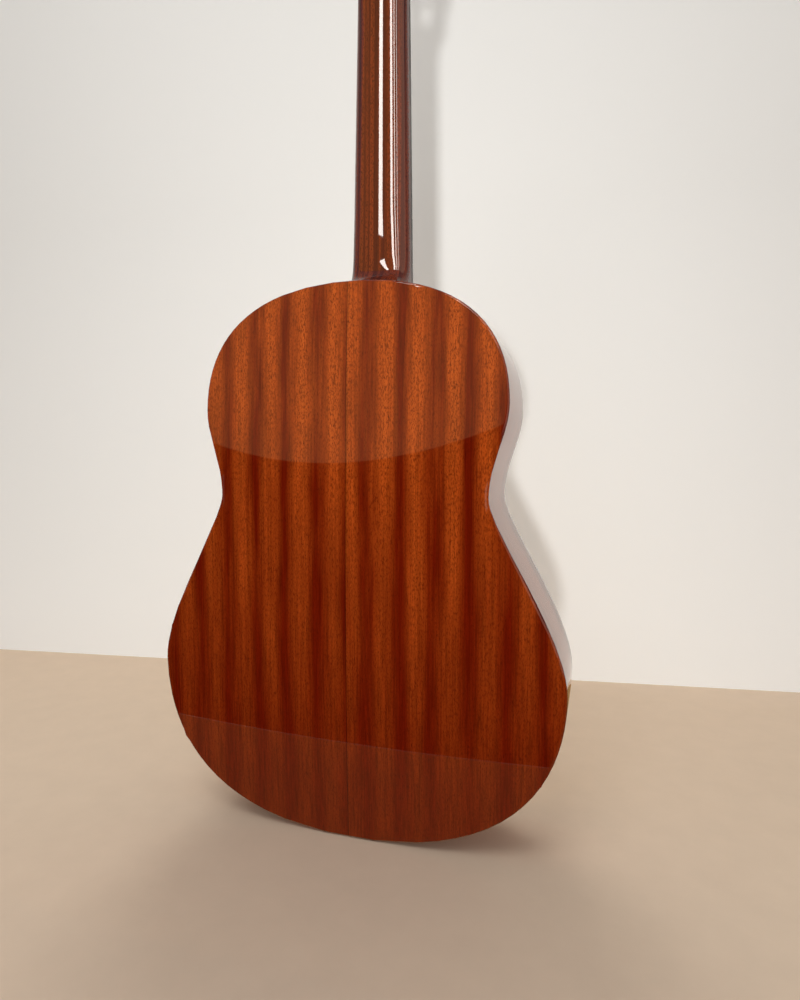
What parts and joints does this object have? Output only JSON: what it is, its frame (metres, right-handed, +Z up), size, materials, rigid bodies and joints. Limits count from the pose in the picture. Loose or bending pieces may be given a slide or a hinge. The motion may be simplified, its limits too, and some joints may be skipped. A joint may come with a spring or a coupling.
{
  "type": "classical guitar",
  "caption": "Classical guitar with an arched gloss back, fan-braced soundboard, slotted head and worm-geared tuning machines that turn their string rollers.",
  "frame": {"origin": "lowest point of the tail's edge, on the front plane of the soundboard and on the centre line", "axes": "+Z up the neck towards the head, -Y out of the soundboard towards the player's audience, +X towards the treble side"},
  "size_m": [0.375, 0.1117, 1.0012],
  "materials": {
    "spruce_top": "clear gloss lacquer over straight-grained spruce",
    "back_and_ribs": "clear gloss lacquer over ribbon-figured red-brown mahogany",
    "neck_wood": "clear gloss lacquer over dark stained mahogany",
    "dark_binding": "gloss lacquered dark wood",
    "rosette_mosaic": "inlaid rings of plain mosaic under gloss lacquer",
    "lining_wood": "bare sawn wood",
    "brace_spruce": "bare planed spruce",
    "rosewood": "oiled dark rosewood",
    "bone": "polished off-white bone",
    "nickel_silver": "polished nickel silver",
    "plated_brass": "polished brass plating",
    "steel": "nickel-plated steel",
    "roller_plastic": "smooth off-white plastic on a steel core",
    "pearl_plastic": "pearly off-white plastic",
    "treble_nylon": "clear smooth nylon",
    "wound_bass": "silvered wire wound on silk"
  },
  "bodies": {
    "guitar": {"soundboard": "spruce_top", "back": "back_and_ribs", "rib_bass": "back_and_ribs", "rib_treble": "back_and_ribs", "top_binding": "dark_binding", "rosette": "rosette_mosaic", "top_linings": "lining_wood", "back_linings": "lining_wood", "neck_block": "lining_wood", "tail_block": "lining_wood", "harmonic_bars": "brace_spruce", "fan_braces": "brace_spruce", "closing_braces": "brace_spruce", "bridge_patch": "brace_spruce", "soundhole_patch": "brace_spruce", "back_braces": "brace_spruce", "bridge": "rosewood", "tie_block_trim": "bone", "saddle": "bone", "neck": "neck_wood", "fingerboard": "rosewood", "frets": "nickel_silver", "nut": "bone", "headstock": "neck_wood", "head_veneer": "rosewood", "plate_bass": "plated_brass", "plate_treble": "plated_brass", "plate_screws": "nickel_silver", "string_1": "treble_nylon", "string_2": "treble_nylon", "string_3": "treble_nylon", "string_4": "wound_bass", "string_5": "wound_bass", "string_6": "wound_bass"},
    "knob_1": {"worm_1": "steel", "button_1": "pearl_plastic"},
    "barrel_1": {"roller_1": "roller_plastic", "gear_1": "plated_brass"},
    "knob_2": {"worm_2": "steel", "button_2": "pearl_plastic"},
    "barrel_2": {"roller_2": "roller_plastic", "gear_2": "plated_brass"},
    "knob_3": {"worm_3": "steel", "button_3": "pearl_plastic"},
    "barrel_3": {"roller_3": "roller_plastic", "gear_3": "plated_brass"},
    "knob_4": {"worm_4": "steel", "button_4": "pearl_plastic"},
    "barrel_4": {"roller_4": "roller_plastic", "gear_4": "plated_brass"},
    "knob_5": {"worm_5": "steel", "button_5": "pearl_plastic"},
    "barrel_5": {"roller_5": "roller_plastic", "gear_5": "plated_brass"},
    "knob_6": {"worm_6": "steel", "button_6": "pearl_plastic"},
    "barrel_6": {"roller_6": "roller_plastic", "gear_6": "plated_brass"}
  },
  "joints": [
    {"name": "knob_turn_1", "type": "hinge", "parent": "guitar", "child": "knob_1", "pos_m": [0.0418, 0.01896, 0.86906], "axis": [0, 0.9703, -0.2419], "continuous": true},
    {"name": "barrel_turn_1", "type": "hinge", "parent": "guitar", "child": "barrel_1", "pos_m": [0.0418, 0.02099, 0.87721], "axis": [1, 0, 0], "continuous": true},
    {"name": "knob_turn_2", "type": "hinge", "parent": "guitar", "child": "knob_2", "pos_m": [0.0418, 0.02743, 0.90302], "axis": [0, 0.9703, -0.2419], "continuous": true},
    {"name": "barrel_turn_2", "type": "hinge", "parent": "guitar", "child": "barrel_2", "pos_m": [0.0418, 0.02946, 0.91117], "axis": [1, 0, 0], "continuous": true},
    {"name": "knob_turn_3", "type": "hinge", "parent": "guitar", "child": "knob_3", "pos_m": [0.0418, 0.03589, 0.93698], "axis": [0, 0.9703, -0.2419], "continuous": true},
    {"name": "barrel_turn_3", "type": "hinge", "parent": "guitar", "child": "barrel_3", "pos_m": [0.0418, 0.03792, 0.94513], "axis": [1, 0, 0], "continuous": true},
    {"name": "knob_turn_4", "type": "hinge", "parent": "guitar", "child": "knob_4", "pos_m": [-0.0418, 0.03589, 0.93698], "axis": [0, 0.9703, -0.2419], "continuous": true},
    {"name": "barrel_turn_4", "type": "hinge", "parent": "guitar", "child": "barrel_4", "pos_m": [-0.0418, 0.03792, 0.94513], "axis": [1, 0, 0], "continuous": true},
    {"name": "knob_turn_5", "type": "hinge", "parent": "guitar", "child": "knob_5", "pos_m": [-0.0418, 0.02743, 0.90302], "axis": [0, 0.9703, -0.2419], "continuous": true},
    {"name": "barrel_turn_5", "type": "hinge", "parent": "guitar", "child": "barrel_5", "pos_m": [-0.0418, 0.02946, 0.91117], "axis": [1, 0, 0], "continuous": true},
    {"name": "knob_turn_6", "type": "hinge", "parent": "guitar", "child": "knob_6", "pos_m": [-0.0418, 0.01896, 0.86906], "axis": [0, 0.9703, -0.2419], "continuous": true},
    {"name": "barrel_turn_6", "type": "hinge", "parent": "guitar", "child": "barrel_6", "pos_m": [-0.0418, 0.02099, 0.87721], "axis": [1, 0, 0], "continuous": true}
  ],
  "couplings": [
    {"joint": "barrel_turn_1", "follows": "knob_turn_1", "ratio": -0.071429},
    {"joint": "barrel_turn_2", "follows": "knob_turn_2", "ratio": -0.071429},
    {"joint": "barrel_turn_3", "follows": "knob_turn_3", "ratio": -0.071429},
    {"joint": "barrel_turn_4", "follows": "knob_turn_4", "ratio": 0.071429},
    {"joint": "barrel_turn_5", "follows": "knob_turn_5", "ratio": 0.071429},
    {"joint": "barrel_turn_6", "follows": "knob_turn_6", "ratio": 0.071429}
  ]
}
